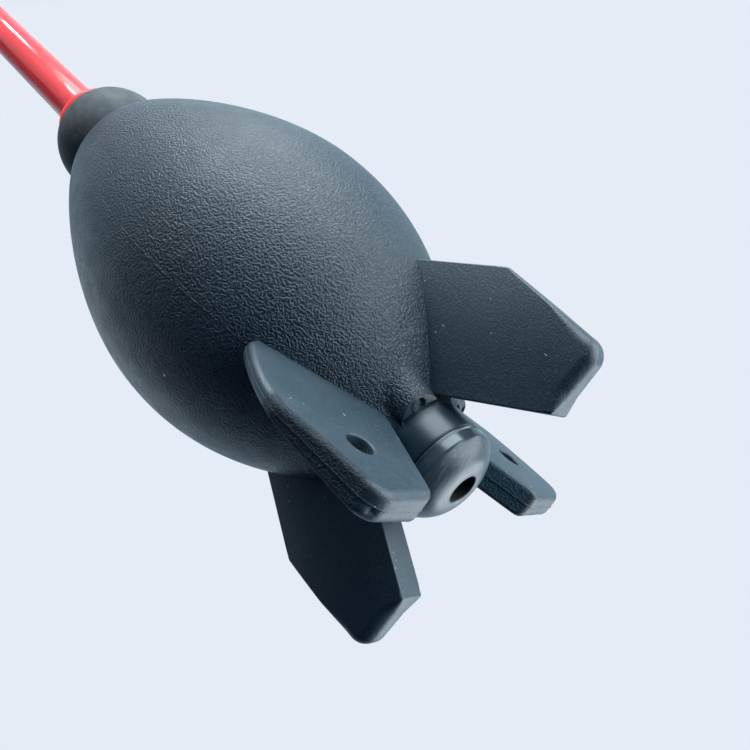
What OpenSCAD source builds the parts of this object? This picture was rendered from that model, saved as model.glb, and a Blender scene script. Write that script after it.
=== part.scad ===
// Rocket-shaped dust blower bulb, for blowing dust off watch movements and lenses.
// A hollow rubber bulb stands on four tail fins. Air enters through a disc valve in
// the tail boss and leaves through a long hard nozzle pushed into the neck.
// Millimetres, +Z up along the bulb's axis, feet of the fins on z = 0.

/* [Bulb] */
// Outside diameter of the bulb at its widest ring
bulb_d = 58; // [54:0.5:62]
// Height of the widest ring above the feet
equator_z = 60.8; // [58:0.1:63]
// Rubber wall thickness of the squeeze bulb
wall = 3.2; // [2.4:0.1:3.6]
// Height where the bulb turns in to the neck
shoulder_z = 105; // [104.5:0.1:105.4]
// Radius where the bulb turns in to the neck
shoulder_r = 13.8; // [13:0.1:14.4]

/* [Neck] */
// Diameter of the ball-shaped neck
neck_ball_d = 23; // [22:0.1:24]
// Height of the neck ball's centre
neck_ball_z = 113.6; // [113:0.1:114]
// Height of the flat that the nozzle's flange sits on
neck_top_z = 122.6; // [122:0.1:123]
// Radius of the groove between bulb and neck ball
neck_groove_r = 8.4; // [8:0.1:9]

/* [Tail boss] */
// Diameter of the boss that holds the intake valve
boss_d = 17.6; // [17:0.1:18]
// Height of the boss's open end
boss_end_z = 10.1; // [9.5:0.1:10.5]
// Height where the boss runs into the bulb
boss_root_z = 17.5; // [17.2:0.1:18]
// Diameter of each of the four lugs at the boss's root
lug_d = 7.4; // [7:0.1:8]
// Distance of the lugs' centres from the axis
lug_at_r = 7.9; // [7.6:0.1:8.2]
// Height of the lugs' outer rim
lug_end_z = 16.6; // [16.2:0.1:17]

/* [Eyelet fins] */
// Reach of an eyelet fin at its widest point
eyelet_fin_r = 33.7; // [32:0.1:35]
// Thickness of an eyelet fin along its leading edge
eyelet_fin_edge_t = 2.2; // [1.8:0.1:3]
// Thickness of an eyelet fin along its trailing edge
eyelet_fin_t = 5.6; // [5:0.1:6.4]
// Diameter of the lanyard hole
eyelet_d = 4.4; // [3.5:0.1:5]

/* [Plain fins] */
// Reach of a plain fin at its widest point
plain_fin_r = 31.3; // [30:0.1:32]
// Thickness of a plain fin along its leading edge
plain_fin_edge_t = 1; // [0.8:0.1:2]
// Thickness of a plain fin along its trailing edge
plain_fin_t = 6.4; // [5.6:0.1:7]

/* [Nozzle] */
// Height of the nozzle's tip above the feet
nozzle_tip_z = 190; // [170:1:200]
// Outside diameter of the nozzle where it leaves its flange
nozzle_base_d = 8.9; // [8.4:0.1:9.2]
// Outside diameter of the nozzle's straight tip
nozzle_tip_d = 8; // [7:0.1:8.4]
// Diameter of the air passage
nozzle_bore_d = 3; // [2.4:0.1:3.4]
// Diameter of the flange on the neck
flange_d = 15; // [13:0.1:15.4]

/* [Intake valve] */
// Diameter of the air inlet hole in the cap
inlet_d = 5.3; // [4.5:0.1:5.6]
// Height of the cap's outer face
cap_face_z = 4.6; // [4.2:0.1:5]
// Lift of the valve disc off its seat
disc_lift = 1.2; // [0.8:0.1:1.4]

/* [Hidden] */
$fn = 96;

rubber = "#2b3138";
fin_rubber = "#343c44";
glossy_black = "#3a444d";
red_plastic = "#e0464c";
valve_plastic = "#c9ccd0";
disc_rubber = "#55585c";

bulb_r = bulb_d / 2;
boss_r = boss_d / 2;
ball_r = neck_ball_d / 2;
over = 1;                    // how far a cut runs past the face it opens
running = 0.05;              // radial clearance of a sliding fit
edge_break = 0.3;            // bevel on the rims of the boss and the cap

// Valve stack, from the open end of the boss upward
tail_bore_r = 6.5;           // bore of the boss, where the valve unit is pressed in
tail_lip_r = 5.4;            // lip above the unit, open to the bulb
unit_top_z = 21.4;           // top of the valve unit, under the lip
spigot_r = 5.1;              // inside radius of the cap's spigot
seat_z = 13.6;               // underside of the valve seat
seat_top_z = 16;             // rim that the disc closes on
cage_z = 15;                 // underside of the cage ring
disc_r = 4.4;
disc_t = 1;
disc_gap = 0.3;              // side room of the disc in its cage
seat_gap = 0.02;             // gap left between the disc and whatever it lies on

// Nozzle root in the neck bore
root_r = 4.2;
root_z = 107;
neck_bore_r = root_r + running;
flange_t = 1.7;

// ---- Curves -------------------------------------------------------------

// Points of a cubic Bezier curve with n steps, its first point left out
function bezier(a, b, c, d, n) =
    [for (i = [1:n]) let (t = i / n, s = 1 - t)
        s*s*s*a + 3*s*s*t*b + 3*s*t*t*c + t*t*t*d];

// Points of an arc round a centre, from angle a0 to a1
function arc(centre, r, a0, a1, n) =
    [for (i = [0:n]) let (a = a0 + (a1 - a0)*i/n) centre + r*[cos(a), sin(a)]];

// One corner of an outline, rounded: the arc that touches both of its sides
function rounded_corner(before, corner, after, r, n = 8) =
    r <= 0 ? [corner] :
    let (u = (before - corner) / norm(before - corner),
         v = (after - corner) / norm(after - corner),
         half = acos(u*v) / 2,
         bisector = (u + v) / norm(u + v),
         centre = corner + bisector*r/sin(half),
         start = atan2((corner + u*r/tan(half) - centre).y, (corner + u*r/tan(half) - centre).x),
         end = atan2((corner + v*r/tan(half) - centre).y, (corner + v*r/tan(half) - centre).x),
         raw = end - start,
         turn = raw > 180 ? raw - 360 : raw < -180 ? raw + 360 : raw)
    [for (i = [0:n]) let (a = start + turn*i/n) centre + r*[cos(a), sin(a)]];

// ---- Bulb ---------------------------------------------------------------

// Half outline of the bulb as [r, z] with the wall taken off by inset:
// egg-shaped below the widest ring, and drawn out to the shoulder above it
function egg_outline(inset, tail, top) =
    let (r = bulb_r - inset)
    concat([tail],
        bezier(tail, [r, boss_root_z + 18.3 + inset], [r, equator_z - 5.8], [r, equator_z], 20),
        bezier([r, equator_z], [r, equator_z + 18.4], [top.x + 2, top.y - 1.1], top, 16));

// Solid form of the bulb, boss and neck, before anything is hollowed out
module bulb_form() {
    groove_z = neck_ball_z - sqrt(ball_r*ball_r - neck_groove_r*neck_groove_r);
    groove_foot = [neck_groove_r, groove_z - 0.5];
    ball_from = atan2(groove_z - neck_ball_z, neck_groove_r);
    ball_to = asin((neck_top_z - neck_ball_z) / ball_r);
    shoulder = [shoulder_r, shoulder_z];
    rotate_extrude()
        polygon(concat(
            [[0, boss_end_z], [boss_r - edge_break, boss_end_z], [boss_r, boss_end_z + edge_break]],
            egg_outline(0, [boss_r, boss_root_z], shoulder),
            bezier(shoulder, shoulder + [-2.4, 1.3], groove_foot + [0, 1], groove_foot, 7),
            arc([0, neck_ball_z], ball_r, ball_from, ball_to, 16),
            [[0, neck_top_z]]));
}

// Air space: cavity, neck bore and the stepped bore of the tail boss
module bulb_hollow() {
    cavity_top = [shoulder_r - 3.8, shoulder_z - 3.6];
    cavity_tail = [tail_lip_r, unit_top_z + 1.6];
    crown_z = cavity_top.y + 1.2;
    rotate_extrude()
        polygon(concat(
            [[0, cavity_tail.y]],
            egg_outline(wall, cavity_tail, cavity_top),
            [[neck_bore_r, crown_z], [0, crown_z]]));
    translate([0, 0, cavity_top.y]) cylinder(r = neck_bore_r, h = neck_top_z - cavity_top.y + over);
    translate([0, 0, boss_end_z - over]) cylinder(r = tail_bore_r, h = unit_top_z - boss_end_z + over);
    translate([0, 0, unit_top_z - over]) cylinder(r = tail_lip_r, h = cavity_tail.y - unit_top_z + 2*over);
}

// Four round lugs between the fins. They flare into the bulb, and their end faces
// slope down towards the boss.
module lugs() {
    reach = lug_at_r + lug_d/2;
    flare = 1.2;             // how much wider a lug's radius gets inside the bulb
    slope = 0.35;            // rise of the end faces per millimetre outward
    inner_r = 7.4;           // within the boss's wall
    outer_r = reach + 3;     // clear of the lugs
    inner_z = lug_end_z - slope*(reach - inner_r);
    top_z = 21.6;            // within the bulb
    intersection() {
        rotate_extrude()
            polygon([[inner_r, inner_z], [outer_r, lug_end_z + slope*(outer_r - reach)],
                     [outer_r, top_z], [inner_r, top_z]]);
        for (a = [45:90:315]) rotate([0, 0, a]) translate([lug_at_r, 0, inner_z])
            cylinder(r1 = lug_d/2, r2 = lug_d/2 + flare, h = top_z - inner_z);
    }
}

module bulb_body() color(rubber) {
    dimple_r = 1.1;
    dimple_at_r = 10.1;
    dimple_top_z = 16.9;     // flat bottom of the dimple in each lug's end face
    dimple_cut = 2;
    difference() {
        union() {
            bulb_form();
            lugs();
        }
        bulb_hollow();
        for (a = [45:90:315]) rotate([0, 0, a]) translate([dimple_at_r, 0, dimple_top_z - dimple_cut])
            cylinder(r = dimple_r, h = dimple_cut);
    }
}

// ---- Fins ---------------------------------------------------------------

// Half section of a blade: a rounded nose at the leading edge, then filling out
// towards the back. Distance from the leading edge is x, half the thickness is y.
function half_section(edge_t, t, chord, nose, n = 12) =
    let (half = function (x) edge_t/2 + (t - edge_t)/2*(1 - pow(1 - x/chord, 2.4)))
    concat(
        [for (a = [0:22.5:67.5]) [nose*(1 - cos(a)), half(nose)*sin(a)]],
        [for (i = [0:n]) let (x = nose + (chord - nose)*i/n) [x, half(x)]]);

// Whole section, carried on past the trailing edge where the outline will cut it
module blade_section(edge_t, t, chord, nose) {
    half = half_section(edge_t, t, chord, nose);
    past = chord + 12;
    polygon(concat(half, [[past, t/2], [past, -t/2]],
        [for (i = [len(half) - 1:-1:1]) [half[i].x, -half[i].y]]));
}

// Fin in the XZ plane on the +X side. A blade section runs along the leading edge,
// is cut to the side outline, and is seated on the bulb and its lugs.
// The leading edge goes from root to corner and bows outward by bow. The radii
// round the outline at root, corner, foot_out and foot_in.
module fin(root, corner, foot_out, foot_in, radii, edge_t, t, nose, bow) {
    along = (corner - root) / norm(corner - root);
    inward = [along.y, -along.x];            // from the leading edge into the fin
    lean = atan2(along.x, -along.y);         // leading edge's angle off the bulb's axis
    chord = (foot_in - corner)*inward;
    run = norm(corner - root) + 12;
    root_in = root + [-6, 1.7];              // the outline starts and ends inside the bulb
    trail_in = foot_in - 25*along;
    mid = (root + corner)/2 - 2*bow*inward;
    steps = bow > 0 ? 8 : 1;
    lead = [for (i = [0:steps]) let (k = i/steps, q = 1 - k)
        q*q*root + 2*k*q*mid + k*k*corner];
    outline = concat(
        [root_in],
        rounded_corner(root_in, root, lead[1], radii[0], 5),
        [for (i = [1:1:steps - 1]) lead[i]],
        rounded_corner(lead[steps - 1], corner, foot_out, radii[1], 6),
        rounded_corner(corner, foot_out, foot_in, radii[2]),
        rounded_corner(foot_out, foot_in, trail_in, radii[3], 5),
        [trail_in]);
    difference() {
        intersection() {
            rotate([90, 0, 0]) linear_extrude(height = 2*t, center = true) polygon(outline);
            translate([corner.x - bow*inward.x, 0, corner.y - bow*inward.y])
                rotate([0, -lean, 0]) rotate([0, 0, 180])
                    translate([0, 0, -2*run]) linear_extrude(height = 4*run)
                        blade_section(edge_t, t, chord, nose);
        }
        bulb_form();
        lugs();
    }
}

module eyelet_fin() {
    eyelet_at = [25, 10.9];
    foot_out = eyelet_fin_r - 2;
    difference() {
        fin(root = [25.2, 36.3], corner = [eyelet_fin_r, 20.5], foot_out = [foot_out, 0],
            foot_in = [18.8, 0], radii = [2, 3, 4, 1.6],
            edge_t = eyelet_fin_edge_t, t = eyelet_fin_t, nose = 1, bow = 0.8);
        translate([eyelet_at.x, 0, eyelet_at.y]) rotate([90, 0, 0])
            cylinder(d = eyelet_d, h = 2*eyelet_fin_t, center = true);
    }
}

module plain_fin() {
    foot_out = plain_fin_r - 0.5;
    fin(root = [22.6, 36.6], corner = [plain_fin_r, 21.5], foot_out = [foot_out, 0],
        foot_in = [18.7, 0], radii = [0, 1.5, 3.2, 0],
        edge_t = plain_fin_edge_t, t = plain_fin_t, nose = 0.4, bow = 0);
}

module eyelet_fin_right() color(fin_rubber) eyelet_fin();
module eyelet_fin_left() color(fin_rubber) rotate([0, 0, 180]) eyelet_fin();
module plain_fin_back() color(fin_rubber) rotate([0, 0, 90]) plain_fin();
module plain_fin_front() color(fin_rubber) rotate([0, 0, -90]) plain_fin();

// ---- Nozzle -------------------------------------------------------------

// Long tapered tube with a filleted flange, a straight rounded tip, and a root
// with saw-tooth ribs that grip the neck bore
module nozzle_tube() color(red_plastic) {
    flange_top = neck_top_z + flange_t;
    flange_edge_r = flange_t/2;
    base_r = nozzle_base_d/2;
    tip_r = nozzle_tip_d/2;
    fillet = 1.6;
    tip_round = 1;
    straight = 16;           // length of the straight tip
    lead_in = [0.9, 1.3];    // taper at the root's end
    ribs_from = root_z + 2.1;
    rib_pitch = 3.2;
    rib_depth = 0.45;
    rib_count = 4;
    ribs = [for (i = [0:rib_count - 1], p = [[root_r, 0], [root_r - rib_depth, rib_pitch]])
        [p.x, ribs_from + i*rib_pitch + p.y]];
    difference() {
        rotate_extrude()
            polygon(concat(
                [[0, root_z], [root_r - lead_in.x, root_z], [root_r, root_z + lead_in.y]],
                ribs,
                [[root_r, ribs_from + rib_count*rib_pitch], [root_r, neck_top_z]],
                arc([flange_d/2 - flange_edge_r, neck_top_z + flange_edge_r], flange_edge_r, -90, 90, 8),
                arc([base_r + fillet, flange_top + fillet], fillet, 270, 180, 6),
                [[tip_r, nozzle_tip_z - straight]],
                arc([tip_r - tip_round, nozzle_tip_z - tip_round], tip_round, 0, 90, 6),
                [[0, nozzle_tip_z]]));
        translate([0, 0, root_z - over])
            cylinder(d = nozzle_bore_d, h = nozzle_tip_z - root_z + 2*over);
    }
}

// ---- Intake valve -------------------------------------------------------

// Domed cap with a spigot pressed into the boss and the air inlet hole
module intake_cap() color(glossy_black) {
    band_r = boss_r - 0.1;   // plain band next to the boss
    crease = [boss_r - 0.25, 7.6];           // where the dome meets the band
    lid_t = 2;               // thickness of the dome at the inlet
    chamber_z = cap_face_z + lid_t;
    face_r = inlet_d/2 + 0.4;
    difference() {
        rotate_extrude()
            polygon(concat(
                [[0, cap_face_z]],
                bezier([face_r, cap_face_z], [crease.x - 2.6, cap_face_z],
                    crease - [edge_break, 1.6], crease, 8),
                [[band_r, boss_end_z - edge_break], [band_r - edge_break, boss_end_z],
                 [tail_bore_r, boss_end_z], [tail_bore_r, seat_z], [0, seat_z]]));
        translate([0, 0, chamber_z]) cylinder(r = spigot_r, h = seat_z - chamber_z + over);
        translate([0, 0, cap_face_z - over]) cylinder(d = inlet_d, h = lid_t + 2*over);
    }
}

// Bush with the air port and the raised rim that the disc closes on
module valve_seat() color(valve_plastic) {
    port_r = 2.4;
    rim_r = port_r + 0.6;
    rim_foot_r = rim_r + 0.5;
    difference() {
        rotate_extrude()
            polygon([[0, seat_z], [tail_bore_r, seat_z], [tail_bore_r, cage_z],
                     [rim_foot_r, cage_z], [rim_r, seat_top_z], [0, seat_top_z]]);
        translate([0, 0, seat_z - over]) cylinder(r = port_r, h = seat_top_z - seat_z + 2*over);
    }
}

// Loose disc that drops on the rim and lifts when the bulb draws air in
module valve_disc() color(disc_rubber)
    translate([0, 0, seat_top_z + seat_gap]) cylinder(r = disc_r, h = disc_t);

// Ring round the disc, closed above by a hub on four spokes that stops its lift
module valve_cage() color(valve_plastic) {
    pocket_r = disc_r + disc_gap;
    stop_z = seat_top_z + seat_gap + disc_t + disc_lift + seat_gap;
    stop_t = unit_top_z - stop_z;
    spoke_w = 1.4;
    hub_r = 1.8;
    difference() {
        translate([0, 0, cage_z]) cylinder(r = tail_bore_r, h = unit_top_z - cage_z);
        translate([0, 0, cage_z - over]) cylinder(r = pocket_r, h = stop_z - cage_z + over);
        difference() {
            translate([0, 0, stop_z - over]) cylinder(r = pocket_r, h = stop_t + 2*over);
            translate([0, 0, stop_z]) cylinder(r = hub_r, h = stop_t);
            for (a = [0, 90]) rotate([0, 0, a])
                translate([-pocket_r - over, -spoke_w/2, stop_z])
                    cube([2*(pocket_r + over), spoke_w, stop_t]);
        }
    }
}

bulb_body();
eyelet_fin_right();
eyelet_fin_left();
plain_fin_back();
plain_fin_front();
nozzle_tube();
intake_cap();
valve_seat();
valve_disc();
valve_cage();
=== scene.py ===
# %% [markdown]
# # Dressing a rocket-shaped dust blower
#
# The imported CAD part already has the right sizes: a hollow rubber bulb on four tail
# fins, a hard nozzle in its neck and a small intake valve in its tail. This lesson
# gives it its looks. Each visible piece becomes a fine surface worked out with numpy,
# and every surface gets a procedural material. Sizes below are in millimetres, because
# that is how such a part is measured; they turn into metres when a mesh is made.

from math import cos, radians, sin

import bpy
import numpy as np
from mathutils import Matrix, Vector


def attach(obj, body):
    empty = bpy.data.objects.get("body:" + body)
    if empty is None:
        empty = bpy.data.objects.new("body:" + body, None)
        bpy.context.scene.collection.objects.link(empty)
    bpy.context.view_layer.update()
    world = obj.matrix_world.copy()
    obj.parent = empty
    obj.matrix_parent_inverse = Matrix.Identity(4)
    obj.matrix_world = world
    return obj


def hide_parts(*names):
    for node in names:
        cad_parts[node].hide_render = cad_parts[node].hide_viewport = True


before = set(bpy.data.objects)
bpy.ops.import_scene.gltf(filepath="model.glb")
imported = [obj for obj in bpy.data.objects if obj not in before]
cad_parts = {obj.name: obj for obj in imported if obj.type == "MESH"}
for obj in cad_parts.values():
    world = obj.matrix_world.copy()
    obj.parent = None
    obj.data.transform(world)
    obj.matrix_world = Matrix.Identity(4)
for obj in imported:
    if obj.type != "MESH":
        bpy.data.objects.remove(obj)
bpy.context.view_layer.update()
MM = 0.001

# %% [markdown]
# ## One builder for every surface
#
# A turned part and a fin are the same thing to Blender: a grid of points. One
# direction of the grid runs around, the other along a profile. If the profile closes
# on itself the grid is a ring like a doughnut; if not, each end is closed by one extra
# point, a pole. The builder also checks the enclosed volume: a negative one means the
# faces point inwards, so it turns them round.

# %% Make a closed mesh from a grid of points


def grid_mesh(name, grid, pole_start=None, pole_end=None, marks=None):
    """Closed mesh from grid[u, v] in mm. u always wraps; v wraps too unless poles are
    given. Faces join each point with the next in u and in v. marks[u, v] from 0 to 1,
    if given, is stored on the points as the attribute "grain"."""
    nu, nv = grid.shape[:2]
    index = np.arange(nu * nv).reshape(nu, nv)
    ring = np.roll(index, -1, axis=0)
    points = [grid.reshape(-1, 3)]
    quads = np.stack([index[:, :-1], ring[:, :-1], ring[:, 1:], index[:, 1:]], -1).reshape(-1, 4)
    tris = np.zeros((0, 3), int)
    if pole_start is not None:
        first, last = nu * nv, nu * nv + 1
        points += [np.array([pole_start, pole_end], float)]
        tris = np.concatenate([
            np.stack([np.full(nu, first), ring[:, 0], index[:, 0]], -1),
            np.stack([np.full(nu, last), index[:, -1], ring[:, -1]], -1),
        ])
    else:
        wrap = np.stack([index[:, -1], ring[:, -1], ring[:, 0], index[:, 0]], -1)
        quads = np.concatenate([quads, wrap])
    co = np.concatenate(points)
    if enclosed_volume(co, quads, tris) < 0:
        quads, tris = quads[:, ::-1], tris[:, ::-1]
    mesh = bpy.data.meshes.new(name)
    mesh.from_pydata((co * MM).tolist(), [], quads.tolist() + tris.tolist())
    mesh.polygons.foreach_set("use_smooth", np.ones(len(mesh.polygons), bool))
    # on the cap this grain attribute marks the inlet, whose colour is painted near-black as
    # painted shade
    grain = mesh.attributes.new("grain", "FLOAT", "POINT")
    values = np.zeros(len(co), np.float32)
    if marks is not None:
        values[: nu * nv] = np.asarray(marks, np.float32).reshape(-1)
    grain.data.foreach_set("value", values)
    mesh.update()
    piece = bpy.data.objects.new(name, mesh)
    bpy.context.scene.collection.objects.link(piece)
    size = (co.max(0) - co.min(0)).round(1)
    print(f"{name}: {len(co)} points, {len(quads) * 2 + len(tris)} triangles, {size} mm")
    return piece


def enclosed_volume(co, quads, tris):
    """Sum over the faces of a . (b x c) / 6, each quad taken as two triangles."""
    faces = np.concatenate([quads[:, [0, 1, 2]], quads[:, [0, 2, 3]], tris])
    a, b, c = (co[faces[:, k]] for k in range(3))
    return (a * np.cross(b, c)).sum() / 6


# %% [markdown]
# ## Curves for the profiles
#
# The bulb's outline is two cubic Bezier curves. Everything turned or moulded also has
# small rounded edges, because a perfectly sharp edge never catches the light. So one
# helper takes corner points, each with its own radius, and puts an arc at each.

# %% Bezier curves and rounded corners
LONG_GAP, BESIDE_CORNER = 1.4, 0.12


def bezier(a, b, c, d, n):
    """Cubic Bezier: s^3 a + 3 s^2 t b + 3 s t^2 c + t^3 d, with s = 1 - t."""
    t = np.linspace(0, 1, n)[:, None]
    s = 1 - t
    a, b, c, d = (np.array(p, float) for p in (a, b, c, d))
    return s**3 * a + 3 * s**2 * t * b + 3 * s * t**2 * c + t**3 * d


def soft_path(corners, n=6, closed=True):
    """Points along straight lines between corners (x, y, radius), with an arc of that
    radius at each corner: its centre is on the bisector, radius / sin(half angle) away."""
    pts = np.array([c[:2] for c in corners], float)
    out = []
    for i, (x, y, radius) in enumerate(corners):
        here = pts[i]
        ends = not closed and i in (0, len(corners) - 1)
        if radius <= 0 or ends:
            out.append(here[None])
            continue
        u, v = pts[i - 1] - here, pts[(i + 1) % len(pts)] - here
        u, v = u / np.linalg.norm(u), v / np.linalg.norm(v)
        half = np.arccos(np.clip(u @ v, -1, 1)) / 2
        centre = here + (u + v) / np.linalg.norm(u + v) * radius / np.sin(half)
        p, q = here + u * radius / np.tan(half), here + v * radius / np.tan(half)
        t = np.linspace(0, 1, n)[:, None]
        arc = (1 - t) * (p - centre) + t * (q - centre)
        out.append(centre + arc / np.linalg.norm(arc, axis=1)[:, None] * radius)
    return np.concatenate(out)


def spread(path, step, closed=True):
    """The same path with extra points, so that no gap is longer than step. A gap over
    LONG_GAP also gets a point BESIDE_CORNER from each end, which keeps flat faces flat
    when shaded."""
    nxt = np.roll(path, -1, axis=0) if closed else path[1:]
    out = []
    for p, q in zip(path, nxt):
        gap = np.linalg.norm(q - p)
        if gap < 1e-6:
            continue
        n = max(1, int(np.ceil(gap / step)))
        t = np.arange(n) / n
        if gap > LONG_GAP:
            t = np.unique(np.r_[t, BESIDE_CORNER / gap, 1 - BESIDE_CORNER / gap])
        out.append(p + t[:, None] * (q - p))
    if not closed:
        out.append(path[-1:])
    return np.concatenate(out)


def turn(path, angles):
    """Profile (r, z) turned round the axis: x = r cos a, y = r sin a, z = z."""
    r, z = path[:, 0], path[:, 1]
    return np.stack([np.cos(angles)[:, None] * r, np.sin(angles)[:, None] * r,
                     np.broadcast_to(z, (len(angles), len(z)))], -1)


def all_round(n):
    """n even angles."""
    return np.linspace(0, 2 * np.pi, n, endpoint=False)


print("one rounded corner is", len(soft_path([(0, 0, 0), (5, 0, 1), (5, 5, 0)])) - 2, "points")


# %% [markdown]
# ## The bulb
#
# The real bulb is one hollow moulding in black rubber: an egg drawn out to a shoulder,
# a ball-shaped neck, and a short round boss at the tail for the valve. A turned surface
# is the natural way to make it. Three things break the perfect round: four lugs where
# the egg runs into the boss, the mould's parting line (a hair-thin ridge that runs up
# both sides in line with the eyelet fins), and a very slight unevenness.
#
# First comes everything that is the same at every angle: the egg, the neck with its
# bore, the cavity, and the boss's bore and rim.

# %% The bulb's profile
EQUATOR = (29, 60.8)
BOSS_R, BOSS_END, BOSS_ROOT = 8.8, 10.1, 17.5
SHOULDER = (13.8, 105)
GROOVE_R, BALL_R, BALL_Z = 8.4, 11.5, 113.6
NECK_TOP, NECK_BORE_R, CAVITY_TOP = 122.6, 4.25, 102.6
TAIL_BORE_R, TAIL_LIP_R, UNIT_TOP = 6.5, 5.4, 21.4
WALL = 3.2
TAIL_FULLNESS, BELOW_EQUATOR, ABOVE_EQUATOR = 18.3, 5.8, 18.4
LUGS_TO = 25.0
LOW_RINGS = 74


def egg(inset, tail, top, n):
    """Two Bezier curves that meet upright at the widest ring, the wall taken off by inset."""
    r, z = EQUATOR[0] - inset, EQUATOR[1]
    low = bezier(tail, (r, BOSS_ROOT + TAIL_FULLNESS + inset), (r, z - BELOW_EQUATOR), (r, z), n)
    high = bezier((r, z), (r, z + ABOVE_EQUATOR), (top[0] + 2, top[1] - 1.1), top, n)
    return np.concatenate([low, high[1:]])


def as_corners(points, radius=0.0):
    """Points with one radius each, ready for soft_path."""
    return [(p[0], p[1], radius) for p in points]


groove_z = BALL_Z - np.sqrt(BALL_R**2 - GROOVE_R**2)
ball_from = np.arctan2(groove_z - BALL_Z, GROOVE_R)
ball_to = np.arcsin((NECK_TOP - BALL_Z) / BALL_R)
a = np.linspace(ball_from, ball_to, 34)
ball = np.stack([BALL_R * np.cos(a), BALL_Z + BALL_R * np.sin(a)], -1)
outer = egg(0, (BOSS_R, BOSS_ROOT), SHOULDER, LOW_RINGS)
over_shoulder = bezier(SHOULDER, (SHOULDER[0] - 2.4, SHOULDER[1] + 1.3),
                       (GROOVE_R, groove_z + 0.5), (GROOVE_R, groove_z - 0.5), 12)[1:]
inner = egg(WALL, (TAIL_LIP_R, UNIT_TOP + 1.6), (SHOULDER[0] - 3.8, SHOULDER[1] - 3.6), 12)
outside_path = soft_path(
    as_corners(outer[outer[:, 1] > LUGS_TO]) + as_corners(over_shoulder) + as_corners(ball[1:-1])
    + [(ball[-1][0], ball[-1][1], 0.3), (NECK_BORE_R, NECK_TOP, 0.25), (NECK_BORE_R, 119, 0)],
    closed=False)
inside_path = np.concatenate([[(NECK_BORE_R, CAVITY_TOP)], inner[::-1], [(TAIL_LIP_R, UNIT_TOP)]])
rim_path = soft_path([(TAIL_BORE_R, UNIT_TOP, 0), (TAIL_BORE_R, BOSS_END, 0.15),
                      (BOSS_R, BOSS_END, 0.4), (BOSS_R, BOSS_END + 1.2, 0)], closed=False)
round_profile = np.concatenate([spread(outside_path, 2.2, closed=False), inside_path,
                                spread(rim_path, 4, closed=False)])
print("round part of the profile:", len(round_profile), "points")

# %% [markdown]
# ### The four lugs
#
# Where the egg runs into the boss it carries four round lugs between the fins, each
# with a dimple in its end face, left by a pin that pushed the moulding out of its tool.
# At each angle the profile goes up the boss, out along the lug's sloping end face, up
# its flared side and on along the egg. Between the lugs the end face has no width, so
# the same path simply follows the boss. Averaging each point with its neighbours a few
# times turns the corners into soft edges. Last, the end face is carved: a narrow trench
# parts it from the boss, and a low ring stands round the dimple.

# %% The profile near the lugs, angle by angle
LUG_AT, LUG_R, LUG_END, LUG_SLOPE, LUG_FLARE = 7.9, 3.7, 16.6, 0.35, 0.24
TRENCH_WIDTH, TRENCH_DEPTH = 0.62, 0.9
DIMPLE_AT, DIMPLE_R, DIMPLE_DEPTH = 10.1, 0.95, 0.55
RING_OUT, RING_WIDTH, RING_HEIGHT = 0.3, 0.22, 0.12
BOSS_ROWS, FACE_ROWS, SIDE_ROWS, EGG_ROWS = 9, 21, 11, 17
FACE_END = BOSS_ROWS + FACE_ROWS


def line(p, q, n):
    """n points from p towards q at each angle, q left out."""
    t = (np.arange(n) / n)[None, :, None]
    return p[:, None] * (1 - t) + q[:, None] * t


def lug_paths(angles):
    """Profiles (r, z) from the boss to LUGS_TO: a lug's reach at an angle f off its
    middle is at*cos f + sqrt(R^2 - (at*sin f)^2), and never less than the boss."""
    off = angles % (np.pi / 2) - np.pi / 4
    half_chord = np.sqrt(np.clip(LUG_R**2 - (LUG_AT * np.sin(off)) ** 2, 0, None))
    reach = np.maximum(LUG_AT * np.cos(off) + half_chord, BOSS_R + 0.03)
    full = LUG_AT + LUG_R
    rim_z = LUG_END - LUG_SLOPE * (full - reach)
    z = np.linspace(LUG_END - 1.2, LUGS_TO, 500)
    egg_r = np.interp(z, outer[:LOW_RINGS, 1], outer[:LOW_RINGS, 0], left=BOSS_R)
    side = reach[:, None] + LUG_FLARE * (z - rim_z[:, None])
    inside = (side <= egg_r) & (z > rim_z[:, None] + 0.2)
    meet_z = z[np.argmax(inside, axis=1)]
    meet = np.stack([np.interp(meet_z, z, egg_r), meet_z], -1)
    boss = np.broadcast_to([BOSS_R, BOSS_END + 1.3], meet.shape)
    foot = np.broadcast_to([BOSS_R, LUG_END - LUG_SLOPE * (full - BOSS_R)], meet.shape)
    rim = np.stack([reach, rim_z], -1)
    up = meet_z[:, None] + (LUGS_TO - meet_z)[:, None] * np.linspace(0, 1, EGG_ROWS)
    on_egg = np.stack([np.interp(up, z, egg_r), up], -1)
    path = np.concatenate([line(boss, foot, BOSS_ROWS), line(foot, rim, FACE_ROWS),
                           line(rim, meet, SIDE_ROWS), on_egg], 1)
    for passes, first in ((2, 4), (14, FACE_END + 3)):
        for _ in range(passes):
            before, here, after = path[:, first - 1:-2], path[:, first:-1], path[:, first + 1:]
            path[:, first:-1] = (before + 2 * here + after) / 4
    carve_end_faces(path, off, reach)
    return path


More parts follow.
